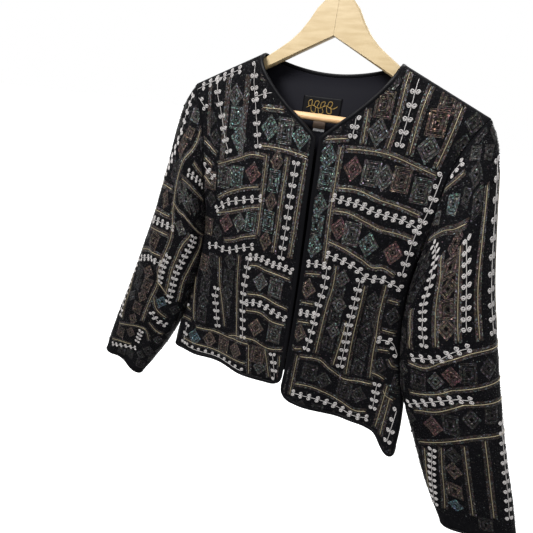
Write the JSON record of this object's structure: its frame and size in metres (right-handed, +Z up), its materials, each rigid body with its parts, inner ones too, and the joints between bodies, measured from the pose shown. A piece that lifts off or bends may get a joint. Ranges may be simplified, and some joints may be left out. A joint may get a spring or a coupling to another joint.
{
  "type": "sequin jacket on a wooden hanger",
  "caption": "Cropped collarless evening jacket of beaded cloth, open at the front, long sleeved and bound in black, hanging on a flat wooden hanger with a bar and a wire hook.",
  "frame": {"origin": "inside top of the hanger's hook, the point that rests on a rail; the jacket's middle lies below it", "axes": "+X to the right as seen from the front, +Y from the front to the back, +Z up"},
  "size_m": [0.7918, 0.0814, 0.7634],
  "materials": {
    "cloth": "black silk covered with dark sequins, white cord curls and pale gold cord",
    "binding": "black bias binding, slight satin sheen",
    "lining": "black lining, soft sheen",
    "label": "woven black satin label",
    "size_tag": "white woven tape",
    "wood": "pale maple, satin lacquer",
    "steel": "polished"
  },
  "bodies": {
    "root": {"front_left": "cloth", "front_right": "cloth", "back": "cloth", "sleeve_left": "cloth", "sleeve_right": "cloth", "front_binding_left": "binding", "front_binding_right": "binding", "neck_binding_back": "binding", "hem_binding_back": "binding", "cuff_binding_left": "binding", "cuff_binding_right": "binding", "back_lining": "lining", "label": "label", "size_tag": "size_tag", "hanger_arm_left": "wood", "hanger_arm_right": "wood", "hanger_bar": "wood", "hook": "steel"}
  },
  "joints": []
}
